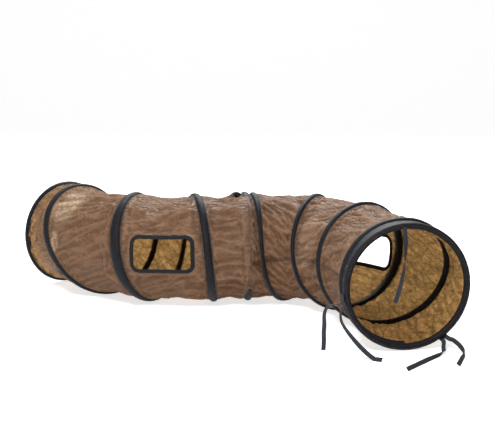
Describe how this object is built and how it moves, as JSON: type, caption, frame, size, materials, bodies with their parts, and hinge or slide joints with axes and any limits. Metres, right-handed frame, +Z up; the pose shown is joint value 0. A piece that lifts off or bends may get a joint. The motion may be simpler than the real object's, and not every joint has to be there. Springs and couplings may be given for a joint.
{
  "type": "cat tunnel",
  "caption": "Pop-up cat tunnel of thin cloth over a sprung wire coil, lying open in an S, with bound side windows and ribbon ties at its mouth.",
  "frame": {"origin": "on the floor, under the centre of the tunnel's outline without its loose ribbon tails", "axes": "+Z up; +X along the tunnel's length from the left end towards the mouth's side; the mouth faces -Y"},
  "size_m": [1.0056, 0.9065, 0.2599],
  "materials": {
    "brown_cloth": "thin woven polyester, slightly shiny, lit through",
    "black_binding": "woven binding tape, slight sheen",
    "black_ribbon": "narrow woven ribbon",
    "spring_steel": "bare drawn wire"
  },
  "bodies": {
    "middle": {"middle_ring_binding": "black_binding", "middle_ring_wire": "spring_steel", "middle_ring_sleeve": "spring_steel"},
    "bay_1": {"coil_binding_1": "black_binding", "coil_wire_1": "spring_steel", "cloth_bay_1": "brown_cloth", "left_ring_binding": "black_binding", "left_ring_wire": "spring_steel", "left_ring_sleeve": "spring_steel"},
    "bay_2": {"coil_binding_2": "black_binding", "coil_wire_2": "spring_steel", "cloth_bay_2": "brown_cloth", "near_window_binding": "black_binding"},
    "bay_3": {"coil_binding_3": "black_binding", "coil_wire_3": "spring_steel", "cloth_bay_3": "brown_cloth"},
    "bay_4": {"coil_binding_4": "black_binding", "coil_wire_4": "spring_steel", "cloth_bay_4": "brown_cloth"},
    "bay_5": {"coil_binding_5": "black_binding", "coil_wire_5": "spring_steel", "cloth_bay_5": "brown_cloth", "far_window_binding": "black_binding"},
    "bay_6": {"coil_binding_6": "black_binding", "coil_wire_6": "spring_steel", "cloth_bay_6": "brown_cloth", "mouth_ring_binding": "black_binding", "mouth_ring_wire": "spring_steel", "mouth_ring_sleeve": "spring_steel", "left_tie_tab": "black_ribbon", "right_tie_tab": "black_ribbon", "top_tie_tab": "black_ribbon", "left_tie_tail_a": "black_ribbon", "left_tie_tail_b": "black_ribbon", "right_tie_tail_a": "black_ribbon", "right_tie_tail_b": "black_ribbon", "top_tie_tail": "black_ribbon"}
  },
  "joints": [
    {"name": "bay_3_close", "type": "slide", "parent": "middle", "child": "bay_3", "axis": [0.9962, 0.0872, 0], "range_m": [0, 0.0784], "stiffness_N_per_m": 16, "deforming": ["cloth_bay_3", "coil_binding_3", "coil_wire_3"]},
    {"name": "bay_2_close", "type": "hinge", "parent": "bay_3", "child": "bay_2", "pos_m": [-0.08784, 0.27218, 0], "axis": [0, 0, 1], "range_deg": [0, 37], "stiffness_Nm_per_rad": 0.8, "deforming": ["cloth_bay_2", "coil_binding_2", "coil_wire_2", "near_window_binding"]},
    {"name": "bay_1_close", "type": "hinge", "parent": "bay_2", "child": "bay_1", "pos_m": [0.62895, 1.03009, 0], "axis": [0, 0, 1], "range_deg": [0, 11], "stiffness_Nm_per_rad": 18.6, "deforming": ["cloth_bay_1", "coil_binding_1", "coil_wire_1"]},
    {"name": "bay_4_close", "type": "hinge", "parent": "middle", "child": "bay_4", "pos_m": [0.08897, -0.11436, 0], "axis": [0, 0, 1], "range_deg": [0, 43], "stiffness_Nm_per_rad": 0.55, "deforming": ["cloth_bay_4", "coil_binding_4", "coil_wire_4"]},
    {"name": "bay_5_close", "type": "hinge", "parent": "bay_4", "child": "bay_5", "pos_m": [0.04862, -0.21059, 0], "axis": [0, 0, 1], "range_deg": [0, 29], "stiffness_Nm_per_rad": 1.3, "deforming": ["cloth_bay_5", "coil_binding_5", "coil_wire_5", "far_window_binding"]},
    {"name": "bay_6_close", "type": "hinge", "parent": "bay_5", "child": "bay_6", "pos_m": [-0.48244, -0.43117, 0], "axis": [0, 0, 1], "range_deg": [0, 15], "stiffness_Nm_per_rad": 8.45, "deforming": ["cloth_bay_6", "coil_binding_6", "coil_wire_6"]}
  ]
}
